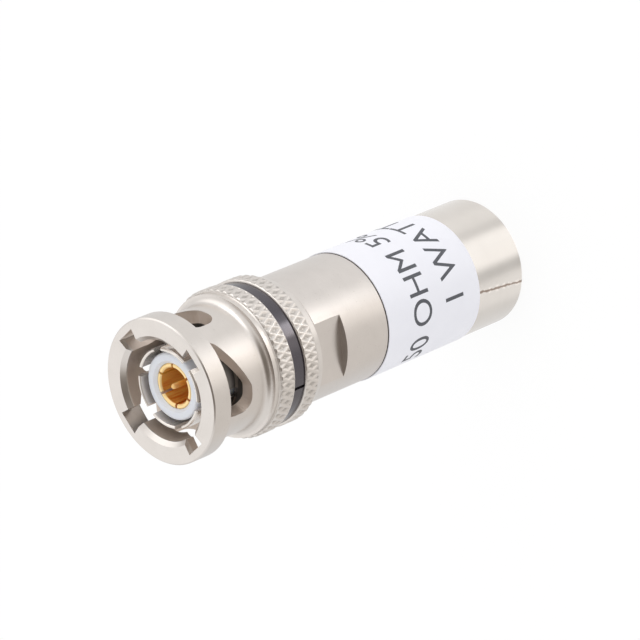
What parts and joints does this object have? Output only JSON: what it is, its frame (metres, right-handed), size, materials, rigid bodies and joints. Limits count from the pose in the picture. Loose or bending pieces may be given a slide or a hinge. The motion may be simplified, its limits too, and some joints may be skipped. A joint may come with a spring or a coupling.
{
  "type": "triaxial terminator",
  "caption": "Round bayonet-lock triaxial terminator: a knurled coupling nut turns on a sealed tubular body that holds a load resistor.",
  "frame": {"origin": "centre of the flat rear end of the housing", "axes": "+Z along the connector's axis towards the mating face, X square to the two wrench flats"},
  "size_m": [0.0144, 0.0144, 0.0432],
  "materials": {
    "nickel_nut": "satin nickel plating, turned, knurled behind",
    "dark_band": "dark grey smooth plastic",
    "spring_steel": "bright spring steel",
    "silicone": "matte dark silicone rubber",
    "nickel_contact": "bright nickel plating",
    "white_insulator": "smooth white fluoropolymer",
    "gold": "bright gold plating",
    "nickel_body": "satin nickel plating, fine turned",
    "label_film": "smooth white label film",
    "liner": "matte insulating film",
    "resistor_lacquer": "blue lacquer over a ceramic core",
    "tinned": "tinned metal"
  },
  "bodies": {
    "terminator": {"front_body": "nickel_body", "rear_housing": "nickel_body", "label": "label_film", "outer_contact": "nickel_contact", "gasket": "silicone", "outer_insulator": "white_insulator", "intermediate_contact": "gold", "inner_insulator": "white_insulator", "center_contact": "gold", "rear_insulator": "white_insulator", "clamp_ring": "nickel_contact", "housing_liner": "liner", "insulating_disc": "liner", "resistor_core": "resistor_lacquer", "resistor_front_cap": "tinned", "resistor_rear_cap": "tinned", "front_lead": "tinned", "return_lead": "tinned", "lead_sleeve": "white_insulator", "solder_bead": "tinned"},
    "spring_pack": {"front_thrust_washer": "spring_steel", "wave_spring": "spring_steel"},
    "nut": {"coupling_nut": "nickel_nut", "color_band": "dark_band", "rear_thrust_washer": "spring_steel"}
  },
  "joints": [
    {"name": "nut_spin", "type": "hinge", "parent": "terminator", "child": "spring_pack", "pos_m": [0, 0, 0.0336], "axis": [0, 0, 1], "continuous": true},
    {"name": "nut_slide", "type": "slide", "parent": "spring_pack", "child": "nut", "axis": [0, 0, 1], "range_m": [0, 0.0008], "stiffness_N_per_m": 3000, "springref_m": -0.001, "deforming": ["wave_spring"]}
  ]
}
